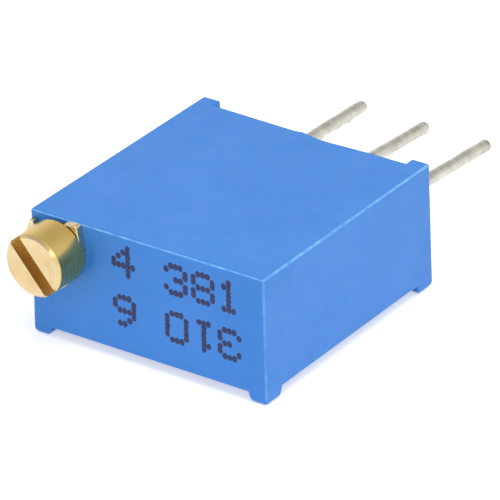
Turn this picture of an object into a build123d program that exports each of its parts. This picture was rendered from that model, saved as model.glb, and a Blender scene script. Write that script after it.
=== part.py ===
from build123d import *
from math import acos, atan, cos, degrees, pi, radians, sin, tan
import os

# A square trimmer potentiometer with a worm drive, lying on its broad back.
# Millimetres. +X runs across the body, +Y from the screw's face to the terminals, +Z is up.
# The origin is under the middle of the whole part, on the plane of the four feet.

# Body
body_width = 9.53
body_length = 9.63
body_thickness = 4.22
edge_round = 0.10
foot_height = 0.45
foot_width = 0.75
foot_length = 0.95
foot_round = 0.24
rib_height = 0.25
rib_width = 0.75

# Walls and the room inside
front_wall = 0.80
side_wall = 0.65
top_wall = 0.60
bore_side_wall = 0.10
bed_room = 0.30
seal_recess = 0.20
rim_step = 0.14
rim_step_run = 0.45

# Adjustment screw, measured along its axis from the screw's face
screw_from_side = 1.33
screw_from_top = 1.10
head_diameter = 2.26
head_reach = 1.58
head_bevel = 0.10
slot_width = 0.50
slot_depth = 0.70
slot_angle = -50
neck_diameter = 1.24
flange_length = 0.20
flange_diameter = 1.68
groove_width = 0.46
groove_diameter = 1.00
land_length = 0.18
screw_end_play = 0.05
screw_bore_play = 0.044
running_play = 0.03

# Retainer plate, square above and round below, notched along the top, with its sleeve
plate_side = 2.10
notch_width = 1.31
notch_depth = 0.33
notch_offset = -0.185
plate_thickness = 0.22
plate_turn = 8.5
sleeve_length = 0.55
sleeve_slit = 0.16
sleeve_fit = 0.01

# Worm drive
wheel_teeth = 30
gear_module = 0.1857
worm_pitch_diameter = 1.30
worm_turns_each_side = 3
worm_tail = 0.20
root_clearance = 0.20
pressure_angle = 20
tooth_play = 0.03
tooth_sink = 0.05
wheel_thickness = 0.90
wheel_end_play = 0.05
wheel_clearance = 0.12
wheel_slot_play = 0.08
hub_diameter = 2.50
hub_drop = 0.35
pivot_diameter = 1.20

# Element plate and its printed films
element_thickness = 0.80
element_side_play = 0.05
element_end_cover = 0.53
film_thickness = 0.03
track_diameter = 4.65
track_width = 0.55
track_half_angle = 155
ring_diameter = 2.30
ring_width = 0.60
lead_width = 0.50
pad_width = 1.00
pad_length = 1.25
pad_setback = 0.10

# Wiper contact
wiper_thickness = 0.06
wiper_plate_diameter = 2.30
contact_gap = 0.02
finger_width = 0.18
finger_space = 0.08
track_finger_count = 3
ring_finger_count = 2
finger_bend = 0.12
finger_root = 0.25
track_arm = 0.55
ring_arm = 0.85
toe_length = 0.16
toe_lift = 0.12

# Terminals, their joints and the seal
terminal_pitch = 2.54
terminal_diameter = 0.44
terminal_reach = 6.81
terminal_straight = 0.35
terminal_bend_radius = 3.0
tip_chamfer = 0.12
terminal_start = 0.20
leans_right = (0.9, 1.8, 2.0)
leans_down = (1.1, 2.3, 2.4)
solder_width = 0.90
solder_length = 0.90
solder_cover = 0.07
seat_gap = 0.02
dam_thickness = 0.50
dam_gap = 0.19

full_turn = 360

# Places that follow from the sizes
overall_length = head_reach + body_length + terminal_reach
face_y = head_reach - overall_length / 2
rim_y = face_y + body_length
rib_y = rim_y + rib_height
back_z = foot_height
top_z = back_z + body_thickness
screw_x = screw_from_side - body_width / 2
screw_z = top_z - screw_from_top
head_radius = head_diameter / 2
neck_radius = neck_diameter / 2

# Gearing: the wheel meets the worm at their pitch circles, near the middle of the body's width
worm_radius = worm_pitch_diameter / 2
wheel_radius = gear_module * wheel_teeth / 2
wheel_x = screw_x + worm_radius + wheel_radius
thread_pitch = pi * gear_module
addendum = gear_module
dedendum = (1 + root_clearance) * gear_module
worm_tip = worm_radius + addendum
worm_root = worm_radius - (1 + root_clearance) * addendum
wheel_tip = wheel_radius + addendum
wheel_root = wheel_radius - dedendum
lead_angle = degrees(atan(thread_pitch / (2 * pi * worm_radius)))
wheel_y = face_y + front_wall + wheel_clearance + wheel_tip
worm_length = 2 * worm_turns_each_side * thread_pitch
worm_start = wheel_y - worm_length / 2
screw_end = worm_start + worm_length + worm_tail
bore_radius = worm_tip + screw_bore_play
bore_end = screw_end + screw_end_play

# Heights inside
ceiling_z = top_z - top_wall
wheel_top = screw_z + wheel_thickness / 2
wheel_bottom = screw_z - wheel_thickness / 2
hub_bottom = wheel_bottom - hub_drop
terminal_z = top_z / 2
terminal_radius = terminal_diameter / 2
film_top = terminal_z - terminal_radius - seat_gap
element_top = film_top - film_thickness
element_bottom = element_top - element_thickness
room_half_width = body_width / 2 - side_wall

# Lengths inside
dam_y = wheel_y + wheel_tip + dam_gap
seal_y = dam_y + dam_thickness
seal_outer_y = rim_y - seal_recess
element_front_y = face_y + front_wall + element_side_play
element_end_y = rim_y - element_end_cover - seal_recess
lap_y = seal_y + terminal_start
pad_end_y = element_end_y - pad_setback
track_radius = track_diameter / 2
track_inner_radius = track_radius - track_width / 2
track_outer_radius = track_radius + track_width / 2
ring_radius = ring_diameter / 2
ring_inner_radius = ring_radius - ring_width / 2
ring_outer_radius = ring_radius + ring_width / 2
pivot_radius = pivot_diameter / 2
pivot_hole_radius = pivot_radius + running_play
terminal_xs = (-terminal_pitch, 0, terminal_pitch)

os.makedirs("parts", exist_ok=True)


def cross_plane(y):
    """Plane across the body at y, seen from the terminals' side: local x is -X, local y is Z."""
    return Plane(origin=(0, y, 0), x_dir=(-1, 0, 0), z_dir=(0, 1, 0))


def block(x_low, x_high, y_low, y_high, z_low, z_high, mode=Mode.ADD):
    """A box between two corners, inside the part that is being built."""
    with Locations(((x_low + x_high) / 2, (y_low + y_high) / 2, (z_low + z_high) / 2)):
        return Box(x_high - x_low, y_high - y_low, z_high - z_low, mode=mode)


screw_axis = Axis((screw_x, face_y, screw_z), (0, 1, 0))
half_width = body_width / 2
side_middle = Plane.YZ
length_middle = Plane(origin=(0, (face_y + rib_y) / 2, 0), z_dir=(0, 1, 0))

# Feet under the four corners of the broad back, rounded at the bottom and at the outer corner
with BuildPart() as feet:
    block(half_width - foot_width, half_width, face_y, face_y + foot_length, 0, back_z + 2 * edge_round)
    outer_corner = feet.edges().filter_by(Axis.Z).group_by(Axis.Y)[0].sort_by(Axis.X)[-1]
    fillet(outer_corner, foot_round)
    fillet(feet.faces().sort_by(Axis.Z)[0].edges(), foot_round)
    mirror(about=side_middle)
    mirror(about=length_middle)

# Housing: one moulding, open towards the terminals, where a rib stands out along each side
with BuildPart() as housing:
    with BuildSketch(cross_plane(face_y)):
        with Locations((0, (back_z + top_z) / 2)):
            RectangleRounded(body_width, body_thickness, edge_round)
    extrude(amount=rib_y - face_y)
    fillet(housing.faces().sort_by(Axis.Y)[0].edges(), edge_round)
    fillet(housing.faces().sort_by(Axis.Y)[-1].edges(), edge_round)
    rib_inner = half_width - rib_width
    block(-rib_inner, rib_inner, rim_y, rib_y, back_z, top_z, Mode.SUBTRACT)
    add(feet.part)
    # Mouth over the full width, then the rotor's chamber, then the bed of the element plate
    block(-room_half_width, room_half_width, dam_y, rib_y, element_bottom, ceiling_z, Mode.SUBTRACT)
    chamber_x = screw_x + bore_radius + bore_side_wall
    block(chamber_x, room_half_width, face_y + front_wall, dam_y, element_bottom, ceiling_z, Mode.SUBTRACT)
    block(-room_half_width, chamber_x, face_y + front_wall, dam_y, element_bottom, element_top + bed_room,
          Mode.SUBTRACT)
    # Slot that lets the wheel slide in and reach the worm
    slot_radius = wheel_tip + wheel_slot_play
    with BuildSketch(Plane.XY.offset(wheel_bottom - wheel_end_play)):
        with Locations((wheel_x, wheel_y)):
            Circle(slot_radius)
        with Locations((wheel_x - slot_radius / 2, (wheel_y + dam_y) / 2)):
            Rectangle(slot_radius, dam_y - wheel_y)
    extrude(amount=ceiling_z - wheel_bottom + wheel_end_play, mode=Mode.SUBTRACT)
    # Blind bore of the screw, from the face
    with BuildSketch(cross_plane(face_y)):
        with Locations((-screw_x, screw_z)):
            Circle(bore_radius)
    extrude(amount=bore_end - face_y, mode=Mode.SUBTRACT)
    # The rim of the plain face steps down along its middle
    with BuildSketch(Plane.XY.offset(ceiling_z)):
        with BuildLine():
            Polyline((0, rim_y), (rim_step_run, rim_y - rim_step), (rib_inner, rim_y - rim_step),
                     (rib_inner, rim_y), close=True)
        make_face()
    extrude(amount=top_wall, mode=Mode.SUBTRACT)
housing.part.label = "housing"
export_step(housing.part, "parts/housing.step")

# Adjustment screw: a turned blank with its slot, then the worm thread
flange_start = face_y + sleeve_length + running_play
groove_start = flange_start + flange_length
land_start = groove_start + groove_width
land_end = land_start + land_length
screw_profile_plane = Plane(origin=(screw_x, 0, screw_z), x_dir=(0, 1, 0), z_dir=(1, 0, 0))
head_back_y = face_y - plate_thickness - running_play
head_face_y = face_y - head_reach
flange_radius = flange_diameter / 2
groove_radius = groove_diameter / 2

with BuildPart() as adjustment_screw:
    with BuildSketch(screw_profile_plane):
        with BuildLine():
            Polyline(
                (head_face_y, 0),
                (head_face_y, head_radius - head_bevel),
                (head_face_y + head_bevel, head_radius),
                (head_back_y, head_radius),
                (head_back_y, neck_radius),
                (flange_start, neck_radius),
                (flange_start, flange_radius),
                (groove_start, flange_radius),
                (groove_start, groove_radius),
                (land_start, groove_radius),
                (land_start, flange_radius),
                (land_end, flange_radius),
                (land_end, worm_root),
                (screw_end, worm_root),
                (screw_end, 0),
                close=True,
            )
        make_face()
    revolve(axis=screw_axis)
    head_plane = Plane(origin=(screw_x, head_face_y, screw_z), x_dir=(1, 0, 0), z_dir=(0, -1, 0))
    with BuildSketch(head_plane):
        Rectangle(2 * head_diameter, slot_width, rotation=slot_angle)
    extrude(amount=-slot_depth, mode=Mode.SUBTRACT)
    # A crest of the thread faces the wheel's middle tooth space at rest: the helix begins above
    # the screw's axis, a quarter turn before it faces the wheel
    helix_start = worm_start - thread_pitch / 4
    with BuildLine() as thread_path:
        Helix(pitch=thread_pitch, height=worm_length, radius=worm_radius,
              center=(screw_x, helix_start, screw_z), direction=(0, 1, 0))
    flank_rise = tan(radians(pressure_angle))
    thread_half = thread_pitch / 4 - tooth_play / 2
    low = worm_root - tooth_sink - worm_radius
    with BuildSketch(Plane(origin=thread_path.line @ 0, x_dir=(0, 0, 1), z_dir=(-1, 0, 0))):
        with BuildLine():
            Polyline(
                (low, -thread_half + low * flank_rise),
                (addendum, -thread_half + addendum * flank_rise),
                (addendum, thread_half - addendum * flank_rise),
                (low, thread_half - low * flank_rise),
                close=True,
            )
        make_face()
    sweep(path=thread_path.wires()[0], is_frenet=True)
adjustment_screw.part.label = "adjustment_screw"
export_step(adjustment_screw.part, "parts/adjustment_screw.step")

# Screw retainer: a plate, square above and round below and notched along the top, with a split
# sleeve that the screw's neck runs in
plate_x_dir = (cos(radians(plate_turn)), 0, sin(radians(plate_turn)))
with BuildPart() as screw_retainer:
    with BuildSketch(Plane(origin=(screw_x, face_y, screw_z), x_dir=plate_x_dir, z_dir=(0, -1, 0))):
        Circle(plate_side / 2)
        with Locations((0, plate_side / 4)):
            Rectangle(plate_side, plate_side / 2)
        with Locations((notch_offset, (plate_side - notch_depth) / 2)):
            Rectangle(notch_width, notch_depth, mode=Mode.SUBTRACT)
    extrude(amount=plate_thickness)
    with BuildSketch(cross_plane(face_y)):
        with Locations((-screw_x, screw_z)):
            Circle(bore_radius - sleeve_fit)
    extrude(amount=sleeve_length)
    with BuildSketch(cross_plane(face_y - plate_thickness)):
        with Locations((-screw_x, screw_z)):
            Circle(neck_radius + running_play)
    extrude(amount=plate_thickness + sleeve_length, mode=Mode.SUBTRACT)
    # The slit opens downwards, so that the sleeve snaps over the neck
    block(screw_x - sleeve_slit / 2, screw_x + sleeve_slit / 2, face_y, face_y + sleeve_length,
          screw_z - bore_radius, screw_z, Mode.SUBTRACT)
screw_retainer.part.label = "screw_retainer"
export_step(screw_retainer.part, "parts/screw_retainer.step")

# O-ring, seated in the screw's groove and just clear of the bore; its section has eight sides
cord_radius = (bore_radius - contact_gap - groove_radius) / 2
with BuildPart() as o_ring:
    with BuildSketch(screw_profile_plane):
        with Locations((groove_start + groove_width / 2, groove_radius + cord_radius)):
            RegularPolygon(cord_radius, side_count=8, major_radius=False)
    revolve(axis=screw_axis)
o_ring.part.label = "o_ring"
export_step(o_ring.part, "parts/o_ring.step")

# Rotor wheel: a worm wheel with slanted involute teeth, a hub and a pivot stub
base_radius = wheel_radius * cos(radians(pressure_angle))


def involute_half_angle(radius):
    """Half the tooth's angle, in degrees, at a radius from the wheel's axis."""
    at_pitch = (thread_pitch / 4 - tooth_play / 2) / wheel_radius
    start = tan(radians(pressure_angle)) - radians(pressure_angle)
    turn = acos(min(1, base_radius / radius))
    return degrees(at_pitch + start - tan(turn) + turn)


def polar(radius, angle):
    return (radius * cos(radians(angle)), radius * sin(radians(angle)))


half_slant = degrees(wheel_thickness / 2 * tan(radians(lead_angle)) / wheel_radius)


def tooth_section(height, turn):
    """The wheel's outline at a height, turned about its axis."""
    with BuildSketch(Plane(origin=(wheel_x, wheel_y, height))) as section:
        Circle(wheel_root)
        tooth_step = full_turn / wheel_teeth
        for number in range(wheel_teeth):
            middle = full_turn / 2 + turn + (number + 0.5) * tooth_step
            flank_radii = (base_radius, wheel_radius, wheel_tip)
            half_angles = [involute_half_angle(radius) for radius in flank_radii]
            with BuildLine():
                right = ThreePointArc(*[polar(r, middle - a) for r, a in zip(flank_radii, half_angles)])
                left = ThreePointArc(*[polar(r, middle + a) for r, a in zip(flank_radii, half_angles)])
                Line(right @ 1, left @ 1)
                foot_radius = wheel_root - tooth_sink
                foot_right = polar(foot_radius, middle - half_angles[0])
                foot_left = polar(foot_radius, middle + half_angles[0])
                Polyline(right @ 0, foot_right, foot_left, left @ 0)
            make_face()
    return section.sketch


with BuildPart() as rotor_wheel:
    loft([tooth_section(wheel_bottom, -half_slant), tooth_section(wheel_top, half_slant)], ruled=True)
    with BuildSketch(Plane(origin=(wheel_x, wheel_y, wheel_bottom))):
        Circle(hub_diameter / 2)
    extrude(amount=-hub_drop)
    with BuildSketch(Plane(origin=(wheel_x, wheel_y, hub_bottom))):
        Circle(pivot_radius)
    extrude(amount=element_bottom + wheel_end_play - hub_bottom)
rotor_wheel.part.label = "rotor_wheel"
export_step(rotor_wheel.part, "parts/rotor_wheel.step")

# Wiper contact: a plate round the stub, with sprung fingers on the track and on the ring
plate_z = hub_bottom - wiper_thickness / 2
touch_z = film_top + contact_gap + wiper_thickness / 2
finger_step = finger_width + finger_space
root_radius = wiper_plate_diameter / 2 - finger_root
toe_z = touch_z + toe_lift
track_strip = [(-root_radius, plate_z), (-root_radius - track_arm, plate_z), (-track_radius, touch_z),
               (-track_radius - toe_length, toe_z)]
ring_strip = [(root_radius, plate_z), (root_radius + ring_arm, plate_z), (ring_radius, touch_z),
              (ring_radius - toe_length, toe_z)]

with BuildPart() as wiper_contact:
    with BuildSketch(Plane(origin=(wheel_x, wheel_y, hub_bottom))):
        Circle(wiper_plate_diameter / 2)
        Circle(pivot_radius + sleeve_fit, mode=Mode.SUBTRACT)
    extrude(amount=-wiper_thickness)
    for strip_points, count in ((track_strip, track_finger_count), (ring_strip, ring_finger_count)):
        for number in range(count):
            shift = (number - (count - 1) / 2) * finger_step - finger_width / 2
            side_plane = Plane(origin=(wheel_x + shift, wheel_y, 0), x_dir=(0, 1, 0), z_dir=(1, 0, 0))
            with BuildSketch(side_plane):
                with BuildLine() as strip:
                    FilletPolyline(*strip_points, radius=finger_bend)
                trace(strip.line, line_width=wiper_thickness)
            extrude(amount=finger_width)
wiper_contact.part.label = "wiper_contact"
export_step(wiper_contact.part, "parts/wiper_contact.step")

# Element plate with the pivot hole
with BuildPart() as element_substrate:
    block(-room_half_width + element_side_play, room_half_width - element_side_play, element_front_y,
          element_end_y, element_bottom, element_top)
    with Locations((wheel_x, wheel_y, element_top)):
        Hole(pivot_hole_radius)
element_substrate.part.label = "element_substrate"
export_step(element_substrate.part, "parts/element_substrate.step")

# Resistor track: a horseshoe, open towards the terminals
open_half = full_turn / 2 - track_half_angle

with BuildPart() as resistor_track:
    with BuildSketch(Plane(origin=(wheel_x, wheel_y, element_top))):
        Circle(track_outer_radius)
        Circle(track_inner_radius, mode=Mode.SUBTRACT)
        with BuildLine():
            Polyline((0, 0), polar(2 * track_outer_radius, 90 - open_half),
                     polar(2 * track_outer_radius, 90 + open_half), close=True)
        make_face(mode=Mode.SUBTRACT)
    extrude(amount=film_thickness)
resistor_track.part.label = "resistor_track"
export_step(resistor_track.part, "parts/resistor_track.step")

# Collector ring round the pivot, with its lead to the middle terminal
with BuildPart() as collector_ring:
    with BuildSketch(Plane.XY.offset(element_top)):
        with Locations((wheel_x, wheel_y)):
            Circle(ring_outer_radius)
        with BuildLine() as lead:
            Polyline((wheel_x, wheel_y + ring_radius), (wheel_x, dam_y - lead_width), (0, dam_y),
                     (0, pad_end_y))
        trace(lead.line, line_width=lead_width)
        with Locations((0, pad_end_y - pad_length / 2)):
            Rectangle(pad_width, pad_length)
        with Locations((wheel_x, wheel_y)):
            Circle(ring_inner_radius, mode=Mode.SUBTRACT)
    extrude(amount=film_thickness)
collector_ring.part.label = "collector_ring"
export_step(collector_ring.part, "parts/collector_ring.step")

# End pads: from the ends of the track to the outer terminals
films = [collector_ring.part]
for side, name in ((-1, "end_pad_1"), (1, "end_pad_3")):
    track_end = polar(track_radius, 90 - side * open_half)
    with BuildPart() as end_pad:
        with BuildSketch(Plane.XY.offset(element_top)):
            with BuildLine() as lead:
                Polyline((wheel_x + track_end[0], wheel_y + track_end[1]),
                         (wheel_x + track_end[0], dam_y - lead_width / 2),
                         (side * terminal_pitch, dam_y + lead_width),
                         (side * terminal_pitch, pad_end_y))
            trace(lead.line, line_width=lead_width)
            with Locations((side * terminal_pitch, pad_end_y - pad_length / 2)):
                Rectangle(pad_width, pad_length)
        extrude(amount=film_thickness)
        add(resistor_track.part, mode=Mode.SUBTRACT)
    end_pad.part.label = name
    export_step(end_pad.part, f"parts/{name}.step")
    films.append(end_pad.part)

# Terminals: round wire, just over its pad inside, straight through the seal, then leaning a little
terminals = []
for number, x in enumerate(terminal_xs):
    bend_y = seal_outer_y + terminal_straight
    run = rim_y + terminal_reach - bend_y
    tip = Vector(x + run * tan(radians(leans_right[number])), rim_y + terminal_reach,
                 terminal_z - run * tan(radians(leans_down[number])))
    bend = Vector(x, bend_y, terminal_z)
    with BuildPart() as terminal:
        with BuildLine() as wire_path:
            FilletPolyline((x, lap_y, terminal_z), bend, tip, radius=terminal_bend_radius)
        with BuildSketch(Plane(origin=(x, lap_y, terminal_z), z_dir=(0, 1, 0))):
            Circle(terminal_radius)
        sweep(path=wire_path.wires()[0])
        chamfer(terminal.faces().sort_by(Axis.Y)[-1].edges(), tip_chamfer)
    terminal.part.label = f"terminal_{number + 1}"
    export_step(terminal.part, f"parts/terminal_{number + 1}.step")
    terminals.append(terminal.part)

# Solder joints: a mound over each wire on its pad
solder_joints = []
for number, x in enumerate(terminal_xs):
    cover_z = terminal_z + terminal_radius + solder_cover
    shoulder = terminal_radius + solder_cover
    with BuildPart() as solder_joint:
        with BuildSketch(cross_plane(lap_y)):
            with BuildLine():
                foot_right = (-x - solder_width / 2, film_top)
                foot_left = (-x + solder_width / 2, film_top)
                side_right = (-x - shoulder, terminal_z)
                side_left = (-x + shoulder, terminal_z)
                Line(foot_right, foot_left)
                TangentArc(side_right, foot_right, tangent=(0, -1))
                TangentArc(side_left, foot_left, tangent=(0, -1))
                ThreePointArc(side_right, (-x, cover_z), side_left)
            make_face()
            with Locations((-x, terminal_z)):
                Circle(terminal_radius, mode=Mode.SUBTRACT)
        extrude(amount=solder_length)
    solder_joint.part.label = f"solder_joint_{number + 1}"
    export_step(solder_joint.part, f"parts/solder_joint_{number + 1}.step")
    solder_joints.append(solder_joint.part)

# Rubber dam across the chamber's mouth, on the element plate
with BuildPart() as sealing_dam:
    block(-room_half_width, room_half_width, dam_y, seal_y, film_top, ceiling_z)
sealing_dam.part.label = "sealing_dam"
export_step(sealing_dam.part, "parts/sealing_dam.step")

# Cast seal round the plate's end, the joints and the terminals
with BuildPart() as epoxy_seal:
    block(-room_half_width, room_half_width, seal_y, seal_outer_y, element_bottom, ceiling_z)
    block(-room_half_width + element_side_play, room_half_width - element_side_play, seal_y, element_end_y,
          element_bottom, element_top, Mode.SUBTRACT)
    for piece in films + terminals + solder_joints:
        add(piece, mode=Mode.SUBTRACT)
epoxy_seal.part.label = "epoxy_seal"
export_step(epoxy_seal.part, "parts/epoxy_seal.step")
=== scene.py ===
from math import copysign, cos, exp, hypot, pi, radians, sin

import bmesh
import bpy
from mathutils import Matrix, Vector

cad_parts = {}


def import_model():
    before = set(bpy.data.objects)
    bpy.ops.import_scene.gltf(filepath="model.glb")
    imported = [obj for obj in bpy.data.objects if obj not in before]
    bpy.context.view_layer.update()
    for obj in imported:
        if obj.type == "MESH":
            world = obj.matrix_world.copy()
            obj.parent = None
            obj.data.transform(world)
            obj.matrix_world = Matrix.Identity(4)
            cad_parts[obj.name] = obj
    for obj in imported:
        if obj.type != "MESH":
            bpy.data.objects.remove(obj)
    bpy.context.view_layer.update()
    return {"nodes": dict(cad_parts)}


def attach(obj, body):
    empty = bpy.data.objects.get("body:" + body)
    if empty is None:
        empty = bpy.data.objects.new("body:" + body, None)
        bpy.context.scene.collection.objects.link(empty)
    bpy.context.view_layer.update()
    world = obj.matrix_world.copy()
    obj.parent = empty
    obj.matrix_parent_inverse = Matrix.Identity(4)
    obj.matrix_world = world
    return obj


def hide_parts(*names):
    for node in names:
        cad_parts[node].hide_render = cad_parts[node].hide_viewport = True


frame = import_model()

# A square trimmer potentiometer on its four feet, with its brass screw at the front left.
# Pieces are built in millimetres in the part's own frame and brought to metres at the end.
MM = 0.001
MICRON = 0.000001

# Places and sizes of the part, in millimetres
half_width = 4.765
face_y = -7.43
back_z = 0.37
top_z = 4.67
screw_x = -3.435
screw_z = 3.57
seal_back_y = 0.1224
seal_face_y = 1.80
wire_z = 2.335
wire_places = (-2.54, 0, 2.54)
wire_radius = 0.22
head_radius = 1.13
sharp_angle = radians(30)


# ---- Small tools

def linear(code):
    """An sRGB hex colour as the linear one that Blender works in."""
    parts = [int(code[i:i + 2], 16) / 255 for i in (0, 2, 4)]
    return [c / 12.92 if c <= 0.04045 else ((c + 0.055) / 1.055) ** 2.4 for c in parts] + [1]


def add(tree, kind, settings=None, links=None):
    """Add a node: settings in small letters are attributes, others are inputs; links come from other outputs."""
    node = tree.nodes.new(kind)
    for key, value in (settings or {}).items():
        if isinstance(key, str) and key.islower():
            setattr(node, key, value)
    for key, value in (settings or {}).items():
        if not (isinstance(key, str) and key.islower()):
            node.inputs[key].default_value = value
    for key, source in (links or {}).items():
        tree.links.new(source, node.inputs[key])
    return node


def piece_from(mesh, name):
    piece = bpy.data.objects.new(name, mesh)
    bpy.context.scene.collection.objects.link(piece)
    return piece


def evaluated(piece):
    """The piece with its modifiers applied, as a plain mesh of its own name; the source is removed."""
    bpy.context.view_layer.update()
    graph = bpy.context.evaluated_depsgraph_get()
    mesh = bpy.data.meshes.new_from_object(piece.evaluated_get(graph))
    name = piece.name
    bpy.data.objects.remove(piece)
    mesh.name = name
    return piece_from(mesh, name)


def modified(piece, kind, **settings):
    """The piece after one modifier, applied."""
    modifier = piece.modifiers.new(kind.lower(), kind)
    for key, value in settings.items():
        setattr(modifier, key, value)
    return evaluated(piece)


def grown(source, tree, **inputs):
    """The source's geometry after a node tree, with the tree's inputs given by name."""
    modifier = source.modifiers.new("grow", "NODES")
    modifier.node_group = tree
    for item in tree.interface.items_tree:
        key = item.name.lower().replace(" ", "_")
        if item.item_type == "SOCKET" and item.in_out == "INPUT" and key in inputs:
            modifier[item.identifier] = inputs[key]
    return evaluated(source)


def settle(piece, body, replaced=(), place=Matrix(), material=None):
    """Bring a finished piece from millimetres to its place with its material, hang it on its body, and hide the CAD
    parts that it stands for.
    """
    piece.data.transform(Matrix.Scale(MM, 4) @ place)
    if material:
        piece.data.materials.clear()
        piece.data.materials.append(material)
    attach(piece, body)
    if replaced:
        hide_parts(*replaced)


def bmesh_piece(bm, name):
    bmesh.ops.recalc_face_normals(bm, faces=bm.faces)
    mesh = bpy.data.meshes.new(name)
    bm.to_mesh(mesh)
    bm.free()
    return piece_from(mesh, name)


def skin(bm, rings):
    """Faces between rings of vertices; a ring of one vertex is a pole."""
    for low, high in zip(rings, rings[1:]):
        count = max(len(low), len(high))
        for i in range(count):
            j = (i + 1) % count
            corners = [low[i % len(low)], low[j % len(low)], high[j % len(high)], high[i % len(high)]]
            bm.faces.new(list(dict.fromkeys(corners)))


def solid(outlines, name):
    """A closed solid between outlines of points, each end closed by a face."""
    bm = bmesh.new()
    rings = [[bm.verts.new(place) for place in outline] for outline in outlines]
    skin(bm, rings)
    for end in (rings[0], rings[-1]):
        bm.faces.new(end)
    return bmesh_piece(bm, name)


def prism(outline, low, high, name):
    """A solid of constant outline along Z."""
    return solid([[(*place, z) for place in outline] for z in (low, high)], name)


def round_outline(radius, across=0, up=0):
    """A circle of 96 points about a middle."""
    steps = 96
    return [(across + radius * cos(2 * pi * i / steps), up + radius * sin(2 * pi * i / steps)) for i in range(steps)]


def combined(piece, other, operation):
    """The piece after a boolean operation with another solid, which is used up."""
    result = modified(piece, "BOOLEAN", operation=operation, solver="EXACT", object=other)
    bpy.data.objects.remove(other)
    return result


def cut_box(piece, low, high, turn=0):
    """Cut a box between two corners out of the piece, turned about the local Z axis."""
    corners = [(low[0], low[1]), (high[0], low[1]), (high[0], high[1]), (low[0], high[1])]
    cutter = prism(corners, low[2], high[2], "cutter")
    cutter.data.transform(Matrix.Rotation(radians(turn), 4, "Z"))
    return combined(piece, cutter, "DIFFERENCE")


# ---- Materials

def new_material(name, **values):
    """A material with its shader's plain values, and its object coordinates in millimetres."""
    material = bpy.data.materials.new(name)
    material.use_nodes = True
    tree = material.node_tree
    tree.nodes.clear()
    shader = add(tree, "ShaderNodeBsdfPrincipled",
                 {key.replace("_", " ").title().replace("Ior", "IOR"): value for key, value in values.items()})
    add(tree, "ShaderNodeOutputMaterial", links={"Surface": shader.outputs["BSDF"]})
    place = add(tree, "ShaderNodeTexCoord").outputs["Object"]
    coords = add(tree, "ShaderNodeMapping", {"Scale": (1 / MM,) * 3}, {"Vector": place}).outputs["Vector"]
    return material, tree, shader, coords


def noise(tree, coords, grain, detail=2.0, roughness=0.5):
    """Noise whose grains are so many millimetres across."""
    return add(tree, "ShaderNodeTexNoise", {"Scale": 1 / grain, "Detail": detail, "Roughness": roughness},
               {"Vector": coords}).outputs["Fac"]


def colours(tree, factor, *stops):
    """A blend of hex colours along a factor: (place, colour) stops."""
    ramp = add(tree, "ShaderNodeValToRGB", links={"Fac": factor})
    points = ramp.color_ramp.elements
    while len(points) < len(stops):
        points.new(0.5)
    for point, (place, code) in zip(points, stops):
        point.position = place
        point.color = linear(code)
    return ramp.outputs["Color"]


def spread(tree, factor, low, high, start=0.3, end=0.7):
    """The factor brought from start..end to low..high."""
    return add(tree, "ShaderNodeMapRange", {"From Min": start, "From Max": end, "To Min": low, "To Max": high},
               {"Value": factor}).outputs["Result"]


def calc(tree, operation, one, other=None):
    """One step of arithmetic; each side is a socket or a number."""
    sides = {0: one, 1: other}
    values = {i: side for i, side in sides.items() if isinstance(side, (int, float))}
    links = {i: side for i, side in sides.items() if side is not None and i not in values}
    return add(tree, "ShaderNodeMath", {"operation": operation, **values}, links).outputs[0]


def relief(tree, shader, *layers):
    """Bumps on the shader, each a height and its depth in microns."""
    below = None
    for height, depth in layers:
        links = {"Height": height}
        if below:
            links["Normal"] = below
        below = add(tree, "ShaderNodeBump", {"Strength": 1.0, "Distance": depth * MICRON}, links).outputs["Normal"]
    tree.links.new(below, shader.inputs["Normal"])


def moulded_thermoset():
    """Transfer-moulded thermoset, bright blue: satin, with a faint orange peel, slow clouds of tone and a painted
    highlight of lighter blue on its edge crowns.
    """
    material, tree, shader, coords = new_material("moulded_thermoset_blue", ior=1.5)
    clouds = noise(tree, coords, 2.6, 3.0)
    base = colours(tree, clouds, (0.25, "3186E1"), (0.75, "3C8DE9"))
    # A lighter blue painted on the crowns of the rounded edges stands in for their highlight.
    highlight_mask = add(tree, "ShaderNodeAttribute", {"attribute_name": "rubbed_edge"}).outputs["Fac"]
    broken = spread(tree, noise(tree, coords, 0.35, 3.0), 0.2, 0.9)
    edges = add(tree, "ShaderNodeMix", {"data_type": "RGBA", 7: linear("8CCBFF")},
                {0: calc(tree, "MULTIPLY", highlight_mask, broken), 6: base}).outputs[2]
    tree.links.new(edges, shader.inputs["Base Color"])
    tree.links.new(spread(tree, noise(tree, coords, 0.5), 0.34, 0.46), shader.inputs["Roughness"])
    relief(tree, shader, (noise(tree, coords, 0.9, 1.0), 4.0), (noise(tree, coords, 0.11), 1.0))
    return material


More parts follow.
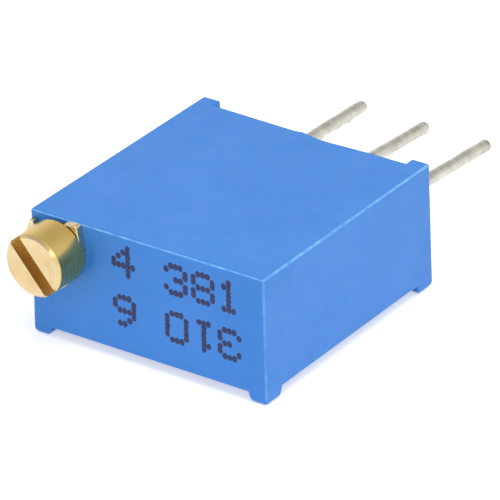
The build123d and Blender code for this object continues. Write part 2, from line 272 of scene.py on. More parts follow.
def turned_brass():
    """Free-cutting brass, turned: bright, with fine rings round the axis; the face is painted paler than the side as a
    highlight.
    """
    material, tree, shader, coords = new_material("turned_brass_bright", metallic=1.0)
    centred = add(tree, "ShaderNodeVectorMath", {"operation": "SUBTRACT", 1: (screw_x, 0, screw_z)},
                  {0: coords}).outputs["Vector"]
    split = add(tree, "ShaderNodeSeparateXYZ", links={"Vector": centred})
    flat = add(tree, "ShaderNodeCombineXYZ", links={"X": split.outputs["X"], "Y": split.outputs["Z"]})
    radius = add(tree, "ShaderNodeVectorMath", {"operation": "LENGTH"}, {0: flat.outputs["Vector"]})
    # The tool's way: in from the rim of the face, and along the side
    way = calc(tree, "ADD", radius.outputs["Value"], split.outputs["Y"])
    wander = calc(tree, "ADD", noise(tree, coords, 0.4), spread(tree, noise(tree, coords, 1.2), 0, 0.5))
    ring_pitch = 0.055
    feed = add(tree, "ShaderNodeMath", {"operation": "MULTIPLY_ADD", 1: 2 * pi / ring_pitch},
               {0: way, 2: wander}).outputs["Value"]
    rings = calc(tree, "SINE", feed)
    # Streaks of tool marks run round the axis: noise that changes fast along the tool's way only
    along = add(tree, "ShaderNodeCombineXYZ", links={"X": way}).outputs["Vector"]
    streaks = add(tree, "ShaderNodeTexNoise", {"Scale": 14.0, "Detail": 3.0}, {"Vector": along}).outputs["Fac"]
    tones = calc(tree, "MULTIPLY", noise(tree, coords, 0.7, 3.0), streaks)
    # The face's paler, whiter tone is a painted highlight over the brass colour of the side.
    face_highlight_tone = colours(tree, tones, (0.1, "D0B482"), (0.3, "DEC79B"), (0.55, "E7D4B1"))
    side_tone = colours(tree, tones, (0.1, "DBB968"), (0.3, "E0C274"), (0.55, "E5CB80"))
    on_side = spread(tree, radius.outputs["Value"], 0, 1, head_radius - 0.06, head_radius - 0.01)
    base = add(tree, "ShaderNodeMix", {"data_type": "RGBA"}, {0: on_side, 6: face_highlight_tone, 7: side_tone}).outputs[2]
    tree.links.new(base, shader.inputs["Base Color"])
    tree.links.new(spread(tree, streaks, 0.24, 0.34), shader.inputs["Roughness"])
    relief(tree, shader, (rings, 0.03), (noise(tree, coords, 0.35), 1.6))
    return material


def stamped_brass():
    """Rolled brass strip, stamped: bright and a little wavy, with faint rolling lines."""
    material, tree, shader, coords = new_material("stamped_brass_strip", metallic=1.0)
    lines = add(tree, "ShaderNodeMapping", {"Rotation": (0, radians(8.5), 0), "Scale": (1, 1, 14)},
                {"Vector": coords}).outputs["Vector"]
    rolled = noise(tree, lines, 0.8, 3.0)
    tree.links.new(colours(tree, rolled, (0.3, "CDB995"), (0.7, "E5D5B4")), shader.inputs["Base Color"])
    tree.links.new(spread(tree, rolled, 0.2, 0.34), shader.inputs["Roughness"])
    relief(tree, shader, (noise(tree, coords, 0.5), 5.0), (rolled, 1.0))
    return material


def dipped_tin():
    """Copper wire, hot-dipped in tin: silvery with a cream cast, dulled in patches, browner at the tip."""
    material, tree, shader, coords = new_material("hot_dipped_tin", metallic=1.0)
    patches = noise(tree, coords, 0.55, 4.0, 0.6)
    silver = colours(tree, patches, (0.3, "B4B0A5"), (0.5, "CBC8BE"), (0.72, "DAD7CD"))
    split = add(tree, "ShaderNodeSeparateXYZ", links={"Vector": coords})
    wander = spread(tree, noise(tree, coords, 0.3), -0.08, 0.08)
    tip_start, tip_end = 8.76, 8.93
    near_tip = spread(tree, calc(tree, "ADD", split.outputs["Y"], wander), 0, 1, tip_start, tip_end)
    tip = colours(tree, patches, (0.3, "8A7B66"), (0.7, "B5A68C"))
    mixed = add(tree, "ShaderNodeMix", {"data_type": "RGBA"}, {0: near_tip, 6: silver, 7: tip}).outputs[2]
    tree.links.new(mixed, shader.inputs["Base Color"])
    tree.links.new(spread(tree, noise(tree, coords, 0.25, 3.0), 0.2, 0.4), shader.inputs["Roughness"])
    relief(tree, shader, (noise(tree, coords, 0.3), 7.0), (noise(tree, coords, 0.06), 0.8))
    return material


def cast_resin():
    """Cast epoxy, off-white: satin, a little translucent, with slow waves and a few pin bubbles."""
    material, tree, shader, coords = new_material("cast_epoxy_cream", ior=1.55, subsurface_weight=0.15,
                                                  subsurface_scale=0.3 * MM)
    base = colours(tree, noise(tree, coords, 1.4, 4.0), (0.3, "CFCDBD"), (0.7, "E0DED0"))
    tree.links.new(base, shader.inputs["Base Color"])
    tree.links.new(spread(tree, noise(tree, coords, 0.6), 0.28, 0.42), shader.inputs["Roughness"])
    cells = add(tree, "ShaderNodeTexVoronoi", {"Scale": 1 / 0.7}, {"Vector": coords}).outputs["Distance"]
    relief(tree, shader, (noise(tree, coords, 0.8), 14.0), (spread(tree, cells, 0, 1, 0.0, 0.1), 12.0))
    return material


def printed_ink():
    """Ink-jet ink, dark navy: matt, of uneven strength."""
    material, tree, shader, coords = new_material("ink_jet_navy", ior=1.45)
    base = colours(tree, noise(tree, coords, 0.13, 3.0), (0.3, "1D2450"), (0.7, "2E3A72"))
    tree.links.new(base, shader.inputs["Base Color"])
    tree.links.new(spread(tree, noise(tree, coords, 0.2), 0.45, 0.6), shader.inputs["Roughness"])
    relief(tree, shader, (noise(tree, coords, 0.05), 1.0))
    return material


def plain_finish(name, dark, light, grain, depth, low, high, **values):
    """A surface of two close tones with its own grain, depth of relief and range of roughness."""
    material, tree, shader, coords = new_material(name, **values)
    grains = noise(tree, coords, grain, 3.0)
    tree.links.new(colours(tree, grains, (0.3, dark), (0.7, light)), shader.inputs["Base Color"])
    tree.links.new(spread(tree, grains, low, high), shader.inputs["Roughness"])
    relief(tree, shader, (grains, depth))
    return material


blue = moulded_thermoset()
brass = turned_brass()
strip_brass = stamped_brass()
tin = dipped_tin()
resin = cast_resin()
ink = printed_ink()

# The pieces inside keep the CAD's shape. Each line names what the surface is and how it was made.
inside = {
    # Moulded nitrile rubber: matt red brown with a faint bloom
    "o_ring": plain_finish("moulded_nitrile_rubber", "4E2018", "66301F", 0.2, 1.5, 0.5, 0.65, ior=1.52),
    # Moulded polyacetal: natural cream, waxy
    "rotor_wheel": plain_finish("moulded_polyacetal", "D3CDBB", "E2DDCD", 0.8, 1.5, 0.35, 0.45, ior=1.48),
    # Rolled precious-metal spring strip: pale gold, bright
    "wiper_contact": plain_finish("rolled_spring_alloy", "CDB582", "E0CC9E", 0.1, 0.4, 0.18, 0.3, metallic=1.0),
    # Fired alumina: chalk white, fine grain
    "element_substrate": plain_finish("fired_alumina", "DAD9D2", "E8E7E2", 0.08, 1.0, 0.55, 0.7, ior=1.76),
    # Printed and fired cermet: dark and slightly glassy
    "resistor_track": plain_finish("fired_cermet_film", "1C1C1E", "2E2D2C", 0.06, 1.2, 0.35, 0.5, ior=1.6),
    # Printed and fired silver film: pale grey, dull metal
    "conductor": plain_finish("fired_silver_film", "A9A9A6", "C3C3C0", 0.06, 1.0, 0.4, 0.55, metallic=1.0),
    # Reflowed solder: bright and smooth
    "solder": plain_finish("reflowed_solder", "B4B4B4", "D0D0D0", 0.3, 2.0, 0.18, 0.3, metallic=1.0),
    # Moulded silicone rubber: pale grey, matt
    "sealing_dam": plain_finish("moulded_silicone_rubber", "A9A9A4", "BCBCB7", 0.3, 1.5, 0.6, 0.7, ior=1.41),
}
shares = {"collector_ring": "conductor", "end_pad_1": "conductor", "end_pad_3": "conductor",
          "solder_joint_1": "solder", "solder_joint_2": "solder", "solder_joint_3": "solder"}
for node_name, node in frame["nodes"].items():
    finish = inside.get(shares.get(node_name, node_name))
    if finish:
        for slot in node.material_slots:
            slot.material = finish
        if not node.material_slots:
            node.data.materials.append(finish)


# ---- Node trees for what repeats or follows a path

def new_tree(name, **inputs):
    """A geometry tree with a geometry input and named inputs: numbers, or a material where None."""
    tree = bpy.data.node_groups.new(name, "GeometryNodeTree")
    tree.interface.new_socket("Geometry", in_out="INPUT", socket_type="NodeSocketGeometry")
    tree.interface.new_socket("Geometry", in_out="OUTPUT", socket_type="NodeSocketGeometry")
    for key, value in inputs.items():
        kind = {type(None): "Material", int: "Int", float: "Float"}[type(value)]
        socket = tree.interface.new_socket(key.replace("_", " ").capitalize(), in_out="INPUT",
                                           socket_type=f"NodeSocket{kind}")
        if value is not None:
            socket.default_value = value
    group = add(tree, "NodeGroupInput")
    return tree, {key: socket for key, socket in zip(["geometry", *inputs], group.outputs)}


def ended(tree, geometry, finish):
    """End a tree as every tree here ends: instances made real, then the finish."""
    real = add(tree, "GeometryNodeRealizeInstances", links={"Geometry": geometry})
    dressed = add(tree, "GeometryNodeSetMaterial", links={"Geometry": real.outputs[0], "Material": finish})
    add(tree, "NodeGroupOutput", links={0: dressed.outputs[0]})
    return tree


def thread_tree():
    """A helical thread of trapezoid section about the local Z axis."""
    tree, group = new_tree("helical_thread", mean_radius=0.65, pitch=0.583, turns=6.0, root_width=0.4,
                           crest_width=0.15, depth=0.4, rise=0.0, finish=None)
    helix = add(tree, "GeometryNodeCurveSpiral", {"Resolution": 72},
                {"Rotations": group["turns"], "Start Radius": group["mean_radius"],
                 "End Radius": group["mean_radius"], "Height": calc(tree, "MULTIPLY", group["pitch"], group["turns"])})
    upright = add(tree, "GeometryNodeSetCurveNormal", {"mode": "Z_UP"}, {"Curve": helix.outputs[0]})
    section = add(tree, "GeometryNodeCurvePrimitiveQuadrilateral", {"mode": "TRAPEZOID", "Offset": 0.0},
                  {"Bottom Width": group["root_width"], "Top Width": group["crest_width"],
                   "Height": group["depth"]})
    shift = add(tree, "ShaderNodeCombineXYZ", links={"X": group["rise"]})
    turned = add(tree, "GeometryNodeTransform", {"Rotation": (0, 0, radians(-90))},
                 {"Geometry": section.outputs[0], "Translation": shift.outputs[0]})
    swept = add(tree, "GeometryNodeCurveToMesh", {"Fill Caps": True},
                {"Curve": upright.outputs[0], "Profile Curve": turned.outputs[0]})
    return ended(tree, swept.outputs[0], group["finish"])


def wire_tree():
    """A round wire along a curve, with a domed end and a skin of solder that waves and sags a little."""
    tree, group = new_tree("dipped_wire", radius=0.22, spacing=0.02, wave=0.05, sag=0.16, seed=0.0, finish=None)
    even = add(tree, "GeometryNodeResampleCurve", {"mode": "LENGTH"},
               {"Curve": group["geometry"], "Length": group["spacing"]})
    run = add(tree, "GeometryNodeSplineParameter").outputs["Length"]
    whole = add(tree, "GeometryNodeSplineLength").outputs["Length"]
    left = calc(tree, "DIVIDE", calc(tree, "SUBTRACT", whole, run), group["radius"])
    short = calc(tree, "SUBTRACT", 1.0, calc(tree, "MINIMUM", left, 1.0))
    dome = calc(tree, "SQRT", calc(tree, "SUBTRACT", 1.0, calc(tree, "MULTIPLY", short, short)))
    size = calc(tree, "MULTIPLY", calc(tree, "MAXIMUM", dome, 0.02), group["radius"])
    circle = add(tree, "GeometryNodeCurvePrimitiveCircle", {"Resolution": 36, "Radius": 1.0})
    sized = add(tree, "GeometryNodeCurveToMesh", {"Fill Caps": True},
                {"Curve": even.outputs[0], "Profile Curve": circle.outputs[0], "Scale": size})
    place = add(tree, "GeometryNodeInputPosition").outputs[0]
    offset = add(tree, "ShaderNodeCombineXYZ", links={"X": group["seed"], "Z": group["seed"]})
    shifted = add(tree, "ShaderNodeVectorMath", {"operation": "ADD"}, {0: place, 1: offset.outputs[0]}).outputs[0]
    waves = add(tree, "ShaderNodeTexNoise", {"Scale": 1.5, "Detail": 1.0}, {"Vector": shifted}).outputs["Fac"]
    lumps = add(tree, "ShaderNodeTexNoise", {"Scale": 2.6, "Detail": 0.0}, {"Vector": shifted}).outputs["Fac"]
    normal = add(tree, "GeometryNodeInputNormal").outputs[0]
    down = add(tree, "ShaderNodeSeparateXYZ", links={"Vector": normal}).outputs["Z"]
    under = calc(tree, "MAXIMUM", calc(tree, "MULTIPLY", down, -1.0), 0.0)
    swell = calc(tree, "MULTIPLY", calc(tree, "SUBTRACT", waves, 0.5), group["wave"])
    drip = calc(tree, "MULTIPLY", calc(tree, "MAXIMUM", calc(tree, "SUBTRACT", lumps, 0.52), 0.0), group["sag"])
    out = calc(tree, "ADD", swell, calc(tree, "MULTIPLY", drip, under))
    push = add(tree, "ShaderNodeVectorMath", {"operation": "SCALE"}, {0: normal, "Scale": out}).outputs[0]
    moved = add(tree, "GeometryNodeSetPosition", links={"Geometry": sized.outputs[0], "Offset": push})
    smooth = add(tree, "GeometryNodeSetShadeSmooth", links={"Geometry": moved.outputs[0]})
    return ended(tree, smooth.outputs[0], group["finish"])


def drop_tree():
    """A flat drop of ink on every point, each a little off its place and size."""
    tree, group = new_tree("ink_drops", drop_width=0.235, stretch=0.88, drop_height=0.012, scatter=0.006, seed=1,
                           finish=None)
    ball = add(tree, "GeometryNodeMeshUVSphere", {"Segments": 18, "Rings": 8, "Radius": 0.5})
    shape = add(tree, "ShaderNodeCombineXYZ", links={"X": calc(tree, "MULTIPLY", group["drop_width"], group["stretch"]),
                                                     "Y": group["drop_width"],
                                                     "Z": calc(tree, "MULTIPLY", group["drop_height"], 2.0)})
    flat = add(tree, "GeometryNodeTransform", links={"Geometry": ball.outputs[0], "Scale": shape.outputs[0]})
    smooth = add(tree, "GeometryNodeSetShadeSmooth", links={"Geometry": flat.outputs[0]})
    away = add(tree, "FunctionNodeRandomValue", {"data_type": "FLOAT_VECTOR", 0: (-1, -1, 0), 1: (1, 1, 0)},
               {"Seed": group["seed"]})
    offset = add(tree, "ShaderNodeVectorMath", {"operation": "SCALE"},
                 {0: away.outputs[0], "Scale": group["scatter"]}).outputs[0]
    moved = add(tree, "GeometryNodeSetPosition", links={"Geometry": group["geometry"], "Offset": offset})
    sizes = add(tree, "FunctionNodeRandomValue", {"data_type": "FLOAT_VECTOR", 0: (0.92, 0.92, 0.8),
                                                  1: (1.08, 1.08, 1.2)}, {"Seed": group["seed"]})
    drops = add(tree, "GeometryNodeInstanceOnPoints",
                links={"Points": moved.outputs[0], "Instance": smooth.outputs[0], "Scale": sizes.outputs[0]})
    return ended(tree, drops.outputs[0], group["finish"])


# ---- Housing: one moulding with a little draft, soft edges, four feet and its ribs at the open side

front_draft = 0.07
side_draft = 0.05
foot_width = 0.75
foot_length = 0.90
foot_taper = 0.11
rib_inner_x = 4.015
left_rib_y = 2.55
right_rib_y = 2.40
room_half_width = 4.115
ceiling_z = 4.07
room_floor_z = 1.265
dam_y = -0.3776
chamber_x = -2.4553
chamber_y = -6.63
bed_top_z = 2.365
wheel_x = 0.0005
wheel_y = -3.5388
wheel_room = 3.0512
wheel_floor_z = 3.07
bore_radius = 0.8797
bore_end = -1.5386
rib_draft = 0.05

# Cutters end this far outside the body, and run into each other a little
clear = 1
past_ribs = 4
overlap = 0.1

# The rim between the ribs, from the left: it isn't quite straight, and steps beside its middle
rim_line = ((-rib_inner_x, 2.12), (-0.53, 2.02), (-0.25, 2.08), (0.50, 1.93), (1.0, 1.92), (2.5, 1.98),
            (rib_inner_x, 1.98))

# Radii of the edges in millimetres; the widest is the bevel's own width
edge_radius = 0.10
rim_radius = 0.05
rib_radius = 0.12
foot_radius = 0.21

# How edges are told apart, after the mesh is cleaned of doubles and of folds that are flat
tolerance = 0.05
mouth_margin = 0.01
rim_margin = 0.02
mouth_edge_y = 1.5
same_place = 0.0005
flat_angle = radians(0.3)
fold_angle = radians(18)

# Where an edge gets its painted highlight: on its crown, up to the mouth, and less on the upright edges
crown_slope = 0.42
top_slope = 0.4
upright_highlight = 0.55
highlight_end_y = 1.8


def edge_softness(middle):
    """The radius of an outer edge whose middle is given, or 0 where it stays sharp."""
    in_height = room_floor_z - tolerance < middle.z < ceiling_z + tolerance
    if in_height and abs(middle.x) < rib_inner_x - mouth_margin:
        at_rim = middle.y > min(y for x, y in rim_line) - rim_margin
        return rim_radius if at_rim else 0
    if middle.z < tolerance:
        return foot_radius
    on_wall = abs(middle.x) > half_width - tolerance and middle.z > back_z - tolerance
    if middle.z < back_z + tolerance and not on_wall:
        return rim_radius
    upright = abs(middle.z - top_z) > 2 * tolerance and abs(middle.x) > half_width - 2 * tolerance
    if middle.y > right_rib_y - tolerance and upright:
        return rib_radius
    return rim_radius if middle.y > mouth_edge_y and abs(middle.x) < rib_inner_x + tolerance else edge_radius


def housing():
    """The moulding: a drafted block less its channels, rooms and bore, with every outer edge softened."""
    outline = [(-half_width, face_y), (half_width, face_y), (half_width, right_rib_y), (rib_inner_x, right_rib_y),
               *rim_line[::-1], (-rib_inner_x, left_rib_y), (-half_width, left_rib_y)]
    top = []
    for x, y in outline:
        outer = abs(x) == half_width
        top.append((x - copysign(side_draft, x) if outer else x, y + front_draft if y == face_y else y, top_z))
    bottom = [(x, y + rib_draft if y >= right_rib_y else y, 0) for x, y in outline]
    piece = solid([bottom, top], "housing_moulding")
    # Two channels across each other leave the four feet, wider at the root
    for reach_x, front, back, lean in ((half_width - foot_width, face_y - clear, past_ribs, (1, 0)),
                                       (half_width + clear, face_y + foot_length, right_rib_y - foot_length, (0, 1))):
        rings = []
        for z in (-back_z, back_z):
            more_x, more_y = [way * foot_taper * (back_z - z) / back_z for way in lean]
            x, start_y, end_y = reach_x + more_x, front - more_y, back + more_y
            rings.append([(-x, start_y, z), (x, start_y, z), (x, end_y, z), (-x, end_y, z)])
        piece = combined(piece, solid(rings, "channel"), "DIFFERENCE")
    # Mouth, rotor's chamber, bed of the element plate, slot of the wheel and bore of the screw
    piece = cut_box(piece, (-room_half_width, dam_y, room_floor_z), (room_half_width, seal_back_y, ceiling_z))
    piece = cut_box(piece, (-rib_inner_x, seal_back_y - overlap, room_floor_z), (rib_inner_x, past_ribs, ceiling_z))
    piece = cut_box(piece, (chamber_x, chamber_y, room_floor_z), (room_half_width, dam_y + overlap, ceiling_z))
    piece = cut_box(piece, (-room_half_width, chamber_y, room_floor_z),
                    (chamber_x + overlap, dam_y + overlap, bed_top_z))
    wheel_slot = prism(round_outline(wheel_room, wheel_x, wheel_y), wheel_floor_z, ceiling_z, "wheel_slot")
    piece = combined(piece, wheel_slot, "DIFFERENCE")
    piece = cut_box(piece, (wheel_x - wheel_room, wheel_y, wheel_floor_z), (wheel_x, dam_y + overlap, ceiling_z))
    bore = solid([[(x, y, z) for x, z in round_outline(bore_radius, screw_x, screw_z)]
                  for y in (face_y - clear, bore_end)], "bore")
    piece = combined(piece, bore, "DIFFERENCE")
    bm = bmesh.new()
    bm.from_mesh(piece.data)
    bmesh.ops.remove_doubles(bm, verts=bm.verts, dist=same_place)
    bmesh.ops.dissolve_limit(bm, angle_limit=flat_angle, verts=bm.verts, edges=bm.edges)
    weights = bm.edges.layers.float.new("bevel_weight_edge")
    for edge in bm.edges:
        if len(edge.link_faces) == 2 and edge.calc_face_angle(0) > fold_angle:
            edge[weights] = edge_softness((edge.verts[0].co + edge.verts[1].co) / 2) / foot_radius
    bm.to_mesh(piece.data)
    bm.free()
    piece.data.shade_smooth()
    piece = modified(piece, "BEVEL", limit_method="WEIGHT", width=foot_radius, segments=5, use_clamp_overlap=False)
    piece = modified(piece, "WEIGHTED_NORMAL", weight=80, keep_sharp=True)
    # The crown of each rounded edge carries a mark of its own, where a lighter blue is painted on as its highlight
    highlight_mask = piece.data.attributes.new("rubbed_edge", "FLOAT", "FACE")
    for face, mark in zip(piece.data.polygons, highlight_mask.data):
        crowned = sorted(map(abs, face.normal))[1] > crown_slope
        strength = 1.0 if abs(face.normal.z) > top_slope else upright_highlight
        mark.value = strength * (crowned and face.center.y < highlight_end_y and face.center.z > back_z)
    return piece


settle(housing(), "case", ["housing"], material=blue)


# ---- Screw: turned head with a sawn slot, neck, flanges and worm

# The screw's own axes: local Z runs along it, local X is up and local Y is across the body
on_screw = Matrix(((0, 1, 0, screw_x), (0, 0, 1, 0), (1, 0, 0, screw_z), (0, 0, 0, 1)))
head_face_y = -9.01
head_back_y = -7.68
neck_radius = 0.62
flange_radius = 0.84
groove_radius = 0.50
flange_start = -6.85
groove_start = -6.65
land_start = -6.19
land_end = -6.01
worm_root = 0.4272
worm_pitch = 0.58339
worm_start = -5.28897
screw_end = -1.5886
slot_width = 0.50
slot_depth = 0.70
slot_turn = 140
slot_past_rim = 2
face_radius = 1.03
face_ring = 0.30
side_ring = 0.5
rim_height = 0.10
burr_radius = 0.022
thread_radius = 0.65
thread_turns = 6.0
thread_root = 0.4604
thread_crest = 0.1265
thread_depth = 0.4586
thread_rise = -0.0436
helix_start = worm_start - worm_pitch / 4


def ring(bm, radius, along):
    """A ring of vertices round the local Z axis, or one vertex where the radius is 0."""
    steps = 144
    if radius == 0:
        return [bm.verts.new((0, 0, along))]
    return [bm.verts.new((radius * cos(2 * pi * i / steps), radius * sin(2 * pi * i / steps), along))
            for i in range(steps)]


def turned_screw():
    """Head, neck, flanges and the worm's core as one turned profile, with the slot sawn in."""
    profile = [
        (0, head_face_y), (face_ring, head_face_y), (face_radius, head_face_y), (head_radius, head_face_y + rim_height),
        (head_radius, head_face_y + side_ring), (head_radius, head_back_y), (neck_radius, head_back_y),
        (neck_radius, flange_start), (flange_radius, flange_start), (flange_radius, groove_start),
        (groove_radius, groove_start), (groove_radius, land_start), (flange_radius, land_start),
        (flange_radius, land_end), (worm_root, land_end), (worm_root, screw_end), (0, screw_end),
    ]
    bm = bmesh.new()
    skin(bm, [ring(bm, radius, along) for radius, along in profile])
    blank = bmesh_piece(bm, "screw_turned")
    blank = cut_box(blank, (-slot_past_rim, -slot_width / 2, head_face_y - clear),
                    (slot_past_rim, slot_width / 2, head_face_y + slot_depth), slot_turn)
    blank.data.shade_smooth()
    blank = modified(blank, "BEVEL", limit_method="ANGLE", angle_limit=sharp_angle, width=burr_radius, segments=3,
                     use_clamp_overlap=True)
    return modified(blank, "WEIGHTED_NORMAL", weight=80, keep_sharp=True)


def worm_thread():
    """The worm's thread by itself, grown on an empty mesh."""
    holder = piece_from(bpy.data.meshes.new("holder"), "worm_thread")
    return grown(holder, thread_tree(), mean_radius=thread_radius, pitch=worm_pitch, turns=thread_turns,
                 root_width=thread_root, crest_width=thread_crest, depth=thread_depth, rise=thread_rise, finish=brass)


settle(turned_screw(), "screw", ["adjustment_screw"], on_screw, brass)
thread = worm_thread()
thread.data.set_sharp_from_angle(angle=sharp_angle)
settle(thread, "screw", (), on_screw @ Matrix.Translation((0, 0, helix_start)), brass)


# ---- Retainer: stamped plate, round below and square above with a notch, and its split sleeve

plate_half = 1.0
plate_turn = -8.5
hole_radius = 0.65
sleeve_radius = 0.8697
ear_radius = 0.14
left_reach = 1.2
plate_front = face_y - 0.22
plate_back = face_y + front_draft
sleeve_start = face_y - 0.05
sleeve_end = face_y + 0.55
stamped_radius = 0.045
notch_floor = 0.70
notch_right = 0.45
split_half = 0.08
split_reach = -0.3
split_start = plate_back + 0.01


def retainer():
    """Local X is up and local Y runs across: round below, square above, with a notch along the top."""
    below = [(-plate_half * sin(pi * i / 48), cos(pi * i / 48) * (plate_half if i < 24 else left_reach))
             for i in range(49)]
    slanted_ear = [(0.57, -1.22), (1.01, -0.98), (0.99, -0.82)]
    notch = [(notch_floor, -0.78), (notch_floor, notch_right), (plate_half, notch_right)]
    round_ear = [(plate_half - ear_radius * (1 - cos(pi * i / 12)), plate_half - ear_radius * (1 - sin(pi * i / 12)))
                 for i in range(7)]
    plate = prism(below + slanted_ear + notch + round_ear, plate_front, plate_back, "retainer_plate")
    plate = modified(plate, "BEVEL", limit_method="ANGLE", angle_limit=sharp_angle, width=stamped_radius, segments=3,
                     use_clamp_overlap=True)
    sleeve = prism(round_outline(sleeve_radius), sleeve_start, sleeve_end, "sleeve")
    plate = combined(plate, sleeve, "UNION")
    hole = prism(round_outline(hole_radius), plate_front - clear, sleeve_end + clear, "hole")
    plate = combined(plate, hole, "DIFFERENCE")
    # The split that lets the sleeve spring
    plate = cut_box(plate, (-plate_half, -split_half, split_start), (split_reach, split_half, sleeve_end + overlap),
                    plate_turn)
    plate.data.shade_smooth()
    return modified(plate, "WEIGHTED_NORMAL", weight=80, keep_sharp=True)


settle(retainer(), "case", ["screw_retainer"], on_screw @ Matrix.Rotation(radians(plate_turn), 4, "Z"),
       strip_brass)


# ---- Terminals: wires with a skin of tin, each with its own lean

wire_tips = ((-2.435, 9.01, 2.207), (0.209, 9.01, 2.068), (2.773, 9.01, 2.056))
wire_start_y = 0.3224
wire_bend_y = 2.35
seed_step = 7.3


def wire(number, x, tip, tree):
    """One terminal: straight through the seal, then straight on to its own tip."""
    line = bpy.data.curves.new(f"wire_{number}", "CURVE")
    line.dimensions = "3D"
    spline = line.splines.new("NURBS")
    start, bend, end = Vector((x, wire_start_y, wire_z)), Vector((x, wire_bend_y, wire_z)), Vector(tip)
    route = [start, start.lerp(bend, 0.5), start.lerp(bend, 0.9), bend, bend.lerp(end, 0.04), bend.lerp(end, 0.3),
             bend.lerp(end, 0.65), end]
    spline.points.add(len(route) - 1)
    for point, place in zip(spline.points, route):
        point.co = (*place, 1)
    spline.order_u = 3
    spline.use_endpoint_u = True
    spline.resolution_u = 12
    source = bpy.data.objects.new(f"wire_{number}", line)
    bpy.context.scene.collection.objects.link(source)
    return grown(source, tree, radius=wire_radius, seed=seed_step * number, finish=tin)


dipped_wire = wire_tree()
for number, (x, tip) in enumerate(zip(wire_places, wire_tips), 1):
    settle(wire(number, x, tip, dipped_wire), "case", [f"terminal_{number}"], material=tin)


# ---- Seal: resin that creeps up the walls and the wires

wall_creep, wall_fade = 0.085, 0.16
wire_creep, wire_fade = 0.12, 0.15
ripple = 0.008


def seal_height(x, z):
    """How far the resin stands proud of its level at a point of the mouth."""
    to_wall = min(rib_inner_x - abs(x), z - room_floor_z, ceiling_z - z)
    rise = wall_creep * exp(-to_wall / wall_fade)
    for wire_x in wire_places:
        to_wire = max(hypot(x - wire_x, z - wire_z) - wire_radius, 0)
        rise += wire_creep * exp(-to_wire / wire_fade)
    waves = sin(1.9 * x + 0.7) * cos(2.3 * z) + 0.5 * sin(4.1 * x - 2.2 * z)
    return rise + ripple * waves


def resin_seal():
    """A block of resin with a free surface of small faces."""
    across, upward = 132, 44
    bm = bmesh.new()
    rows = []
    for j in range(upward + 1):
        z = room_floor_z + (ceiling_z - room_floor_z) * j / upward
        rows.append([])
        for i in range(across + 1):
            x = rib_inner_x * (2 * i / across - 1)
            rows[-1].append(bm.verts.new((x, seal_face_y + seal_height(x, z), z)))
    for low, high in zip(rows, rows[1:]):
        for i in range(across):
            bm.faces.new((low[i], high[i], high[i + 1], low[i + 1]))
    # Sides and back close the block behind the free surface
    rim = rows[0][:-1] + [row[-1] for row in rows[:-1]] + rows[-1][:0:-1] + [row[0] for row in rows[:0:-1]]
    back = [bm.verts.new((v.co.x, seal_back_y, v.co.z)) for v in rim]
    skin(bm, [rim, back])
    bm.faces.new(back)
    piece = bmesh_piece(bm, "resin_seal")
    piece.data.shade_smooth()
    piece.data.set_sharp_from_angle(angle=radians(60))
    return piece


settle(resin_seal(), "case", ["epoxy_seal"], material=resin)


# ---- Print: plain figures in ink-jet drops on the screw's face, the lower row upside down

figures = {
    "0": "01110 10001 10001 10001 10001 10001 01110",
    "1": "00100 01100 00100 00100 00100 00100 01110",
    "3": "01110 10001 00001 00110 00001 10001 01110",
    "4": "00010 00110 01010 10010 11111 00010 00010",
    "6": "00110 01000 10000 11110 10001 10001 01110",
    "8": "01110 10001 10001 01110 10001 10001 01110",
}
figure_width = 0.76
figure_height = 0.97
first_x = -0.92
row_x = (1.20, 2.29, 3.31)
first_z = 3.76
upper_z = 3.66
lower_z = 1.91


def print_row(text, middles, z, upside_down):
    """Drop places of one row; its figures stand at the given middles across the face."""
    way = -1 if upside_down else 1
    places = []
    for figure, x in zip(text, middles):
        for j, row in enumerate(figures[figure].split()):
            for i, mark in enumerate(row):
                if mark == "1":
                    places.append((x + way * (i / 4 - 0.5) * figure_width, z + way * (0.5 - j / 6) * figure_height, 0))
    return places


def printed():
    """All drops of the print as one piece."""
    places = print_row("4", (first_x,), first_z, False) + print_row("381", row_x, upper_z, False)
    places += print_row("6013", (first_x, *row_x), lower_z, True)
    mesh = bpy.data.meshes.new("print")
    mesh.from_pydata(places, [], [])
    return grown(piece_from(mesh, "printed_figures"), drop_tree(), seed=5, finish=ink)


# Local X runs across the face, local Y up it along its draft, and local Z out of it
on_face = Matrix(((1, 0, 0, 0), (0, front_draft / top_z, -1, face_y), (0, 1, 0, 0), (0, 0, 0, 1)))
settle(printed(), "case", (), on_face, ink)


# ---- Camera: the photograph's angle, from far off with a long lens

camera_place = Vector((87.1009, -122.1032, 80.9538))
camera_target = Vector((0.5884, -2.3404, 2.3437))
camera_roll = -1.656

camera_data = bpy.data.cameras.new("camera")
camera_data.sensor_width = 36
camera_data.lens = 360
camera_data.clip_start = 0.001
camera_data.clip_end = 10
camera = bpy.data.objects.new("camera", camera_data)
facing = (camera_target - camera_place).to_track_quat("-Z", "Y").to_matrix().to_4x4()
camera.matrix_world = (Matrix.Translation(camera_place * MM) @ facing
                       @ Matrix.Rotation(radians(camera_roll), 4, "Z"))
bpy.context.scene.collection.objects.link(camera)
bpy.context.scene.camera = camera


# ---- Floor, light and background

def shown_rays(tree):
    """1 for rays that show the background: from the camera, and seen in metal or through glass."""
    path = add(tree, "ShaderNodeLightPath").outputs
    seen = calc(tree, "MAXIMUM", path["Is Camera Ray"], path["Is Glossy Ray"])
    return calc(tree, "MAXIMUM", seen, path["Is Transmission Ray"])


floor_reach = 1.5
floor_glow = 0.5
room_light = 0.52
overhead_light = 0.45
overhead_start = 0.35
overhead_end = 0.85


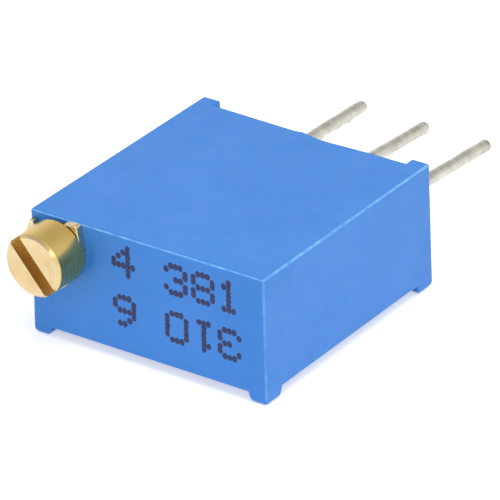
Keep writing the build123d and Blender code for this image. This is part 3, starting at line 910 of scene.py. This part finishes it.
def floor():
    """Plain pale floor that keeps the object's soft shadow."""
    bm = bmesh.new()
    bmesh.ops.create_grid(bm, x_segments=1, y_segments=1, size=floor_reach)
    plane = bmesh_piece(bm, "floor")
    material = bpy.data.materials.new("painted_floor_white")
    material.use_nodes = True
    tree = material.node_tree
    tree.nodes.clear()
    matt = add(tree, "ShaderNodeBsdfDiffuse", {"Color": linear("F0F0F0")})
    glow = add(tree, "ShaderNodeEmission", {"Color": linear("FFFFFF")},
               {"Strength": calc(tree, "MULTIPLY", shown_rays(tree), floor_glow)})
    both = add(tree, "ShaderNodeAddShader", links={0: matt.outputs[0], 1: glow.outputs[0]})
    add(tree, "ShaderNodeOutputMaterial", links={"Surface": both.outputs[0]})
    plane.data.materials.append(material)


def world():
    """Soft light from all round; white where it is seen, and darker overhead where metal mirrors it."""
    scene_world = bpy.data.worlds.new("studio")
    scene_world.use_nodes = True
    tree = scene_world.node_tree
    tree.nodes.clear()
    path = add(tree, "ShaderNodeLightPath").outputs
    height = add(tree, "ShaderNodeSeparateXYZ", links={0: add(tree, "ShaderNodeTexCoord").outputs["Generated"]})
    mirrored = spread(tree, height.outputs["Z"], 1.0, overhead_light, overhead_start, overhead_end)
    lit = add(tree, "ShaderNodeMapRange", {"To Min": room_light},
              {"Value": path["Is Glossy Ray"], "To Max": mirrored})
    seen = calc(tree, "MAXIMUM", path["Is Camera Ray"], path["Is Transmission Ray"])
    strength = calc(tree, "MAXIMUM", lit.outputs[0], seen)
    sky = add(tree, "ShaderNodeBackground", {"Color": linear("FFFFFF")}, {"Strength": strength})
    add(tree, "ShaderNodeOutputWorld", links={"Surface": sky.outputs[0]})
    bpy.context.scene.world = scene_world


lamp_target = Vector((0, -2, 2))
cool = (0.92, 1.0, 0.97)
warm = (1.0, 0.92, 0.99)


def softbox(name, place, size, radiance, tint):
    """A square lamp at a place in millimetres, aimed at the part, of an even brightness and a faint tint."""
    lamp = bpy.data.lights.new(name, "AREA")
    lamp.shape = "SQUARE"
    lamp.size = size * MM
    lamp.energy = radiance * pi * (size * MM) ** 2
    lamp.color = tint
    holder = bpy.data.objects.new(name, lamp)
    aim = (lamp_target - Vector(place)).to_track_quat("-Z", "Y").to_matrix().to_4x4()
    holder.matrix_world = Matrix.Translation(Vector(place) * MM) @ aim
    bpy.context.scene.collection.objects.link(holder)


floor()
world()
softbox("key_light", (40, -20, 110), 90, 2.42, cool)
softbox("fill_light", (-60, -110, 40), 70, 1.05, warm)
softbox("side_light", (120, -30, 40), 70, 0.86, warm)
softbox("front_light", (130, -182, 121), 40, 6.0, warm)
bpy.context.scene.view_settings.view_transform = "Standard"
